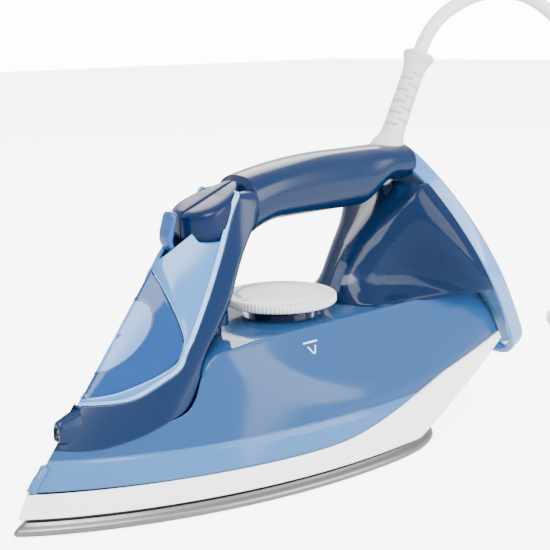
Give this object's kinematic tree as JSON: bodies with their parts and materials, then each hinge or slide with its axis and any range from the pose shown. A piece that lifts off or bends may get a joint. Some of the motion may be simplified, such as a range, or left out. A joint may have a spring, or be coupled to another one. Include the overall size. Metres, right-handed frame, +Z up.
{
  "type": "steam iron",
  "caption": "Steam iron with a closed handle, see-through blue water tank, turning heat dial, push buttons, steam lever, filler door, swivelling cord guard and stored textile cord.",
  "frame": {"origin": "on the surface the soleplate rests on, under the middle of the iron without its cord", "axes": "+X from the nose to the heel, +Y across to the right of the nose direction seen from above, +Z up"},
  "size_m": [0.617, 0.1287, 0.2329],
  "materials": {
    "sole_metal": "satin",
    "dark_metal": "matte",
    "screw_steel": "satin",
    "ivory_plastic": "matte",
    "charcoal_plastic": "matte",
    "white_plastic": "satin",
    "clear_blue": "gloss",
    "dark_blue": "satin",
    "pale_blue": "gloss",
    "navy": "gloss",
    "frosted": "matte",
    "white_rubber": "matte",
    "brass": "satin",
    "mid_blue": "satin",
    "wire_cover": "matte",
    "lamp": "gloss",
    "lamp_glass": "gloss",
    "cord_braid": "woven",
    "button_blue": "satin",
    "lever_blue": "gloss"
  },
  "bodies": {
    "root": {"soleplate": "sole_metal", "heating_element": "dark_metal", "steam_chamber_cover": "sole_metal", "chamber_screws": "screw_steel", "thermostat": "ivory_plastic", "thermal_fuse": "ivory_plastic", "heat_frame": "charcoal_plastic", "skirt": "white_plastic", "heel_base": "white_plastic", "tank_floor": "clear_blue", "water_tank": "clear_blue", "tank_deck": "clear_blue", "dial_sleeve": "clear_blue", "handle_shell": "dark_blue", "handle_liner": "clear_blue", "front_panel": "pale_blue", "lever_bed": "navy", "filler_neck": "frosted", "filler_seal": "white_rubber", "spray_nozzle": "dark_blue", "nozzle_jet": "brass", "spray_pump": "white_plastic", "boost_pump": "white_plastic", "spray_hose": "frosted", "boost_hose": "frosted", "dosing_valve": "white_plastic", "rear_housing": "clear_blue", "heel_rim": "pale_blue", "rear_cover": "mid_blue", "cover_screws": "screw_steel", "terminal_block": "ivory_plastic", "lead_wires": "wire_cover", "lamp_holder": "frosted", "indicator_lamp": "lamp", "lamp_lens": "lamp_glass", "cord_clamp": "ivory_plastic", "cord_socket": "mid_blue", "cord_tail": "cord_braid", "spray_spring": "screw_steel", "boost_spring": "screw_steel", "power_cord": "cord_braid", "cord_coil": "cord_braid", "coil_tie": "white_plastic", "plug_body": "white_rubber", "plug_pins": "screw_steel"},
    "dial": {"dial_knob": "white_plastic", "dial_shaft": "screw_steel"},
    "spray_button": {"spray_button": "button_blue"},
    "boost_button": {"boost_button": "button_blue"},
    "lever": {"steam_lever": "lever_blue", "lever_spindle": "navy"},
    "door": {"filler_door": "clear_blue", "door_pin": "screw_steel"},
    "guard": {"cord_guard": "white_rubber"}
  },
  "joints": [
    {"name": "dial_turn", "type": "hinge", "parent": "root", "child": "dial", "pos_m": [0.0035, 0, 0.077], "axis": [0, 0, 1], "range_deg": [-60, 240]},
    {"name": "spray_press", "type": "slide", "parent": "root", "child": "spray_button", "axis": [0, 0, -1], "range_m": [0, 0.0035], "stiffness_N_per_m": 800, "springref_m": -0.0012, "deforming": ["spray_spring"]},
    {"name": "boost_press", "type": "slide", "parent": "root", "child": "boost_button", "axis": [0, 0, -1], "range_m": [0, 0.0035], "stiffness_N_per_m": 800, "springref_m": -0.0012, "deforming": ["boost_spring"]},
    {"name": "lever_swing", "type": "hinge", "parent": "root", "child": "lever", "pos_m": [-0.0766, 0, 0.1], "axis": [0.7923, 0, -0.6101], "range_deg": [0, 42]},
    {"name": "door_open", "type": "hinge", "parent": "root", "child": "door", "pos_m": [-0.1122, 0, 0.055], "axis": [0, -1, 0], "range_deg": [0, 70]},
    {"name": "guard_swivel", "type": "hinge", "parent": "root", "child": "guard", "pos_m": [0.082, 0, 0.146], "axis": [0.4602, 0, 0.8878], "range_deg": [-170, 170]}
  ]
}
